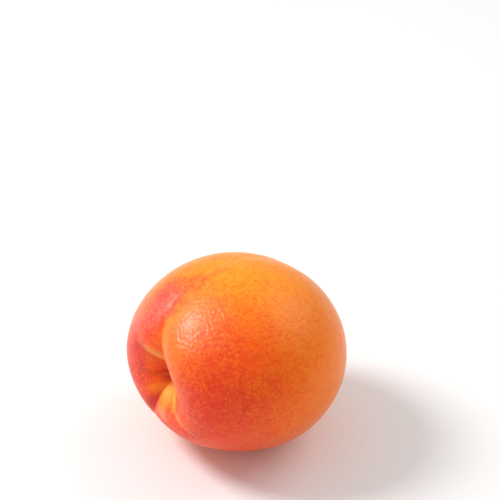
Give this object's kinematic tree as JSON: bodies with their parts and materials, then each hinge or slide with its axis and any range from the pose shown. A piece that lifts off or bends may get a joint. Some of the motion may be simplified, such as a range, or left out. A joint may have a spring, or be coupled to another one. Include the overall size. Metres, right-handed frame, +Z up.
{
  "type": "apricot",
  "caption": "Ripe apricot lying on its side, with a deep stem cavity, a suture between two lobes and a short woody stalk stub.",
  "frame": {"origin": "middle of the fruit's box on the surface it lies on, inside the flat spot that it rests on", "axes": "+Z up; the fruit's own axis is level, with the stem end along -X and the blossom end along +X; the cheeks look along +Y and -Y"},
  "size_m": [0.0508, 0.0546, 0.0464],
  "materials": {
    "skin": "velvety orange skin with a red blush round the stem end",
    "stalk": "dry golden-brown bark with a broken end"
  },
  "bodies": {
    "root": {"fruit": "skin", "stem_stub": "stalk"}
  },
  "joints": []
}
